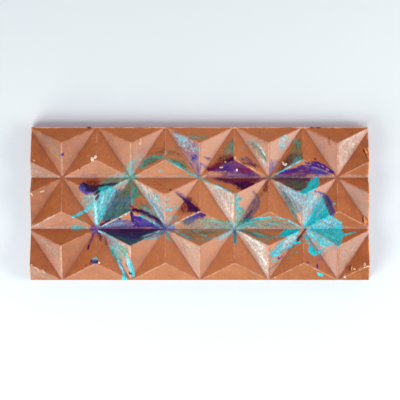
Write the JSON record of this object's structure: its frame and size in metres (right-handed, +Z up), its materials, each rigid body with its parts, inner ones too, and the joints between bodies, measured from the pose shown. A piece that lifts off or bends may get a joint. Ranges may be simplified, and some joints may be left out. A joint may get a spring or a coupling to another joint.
{
  "type": "chocolate bar",
  "caption": "Moulded milk chocolate tablet with a relief of three-sided pyramids on top, smears of turquoise and violet cocoa butter, and a flat back to lie on.",
  "frame": {"origin": "middle of the flat back, on the surface that the bar lies on", "axes": "+X along the bar, +Y across it towards the picture's top, +Z up through the pyramids"},
  "size_m": [0.154, 0.07, 0.0105],
  "materials": {
    "milk_chocolate": "satin milk chocolate, moulded",
    "turquoise_cocoa_butter": "satin coloured cocoa butter, smeared thin",
    "violet_cocoa_butter": "satin coloured cocoa butter, smeared thin"
  },
  "bodies": {
    "root": {"chocolate_bar": "milk_chocolate"}
  },
  "joints": []
}
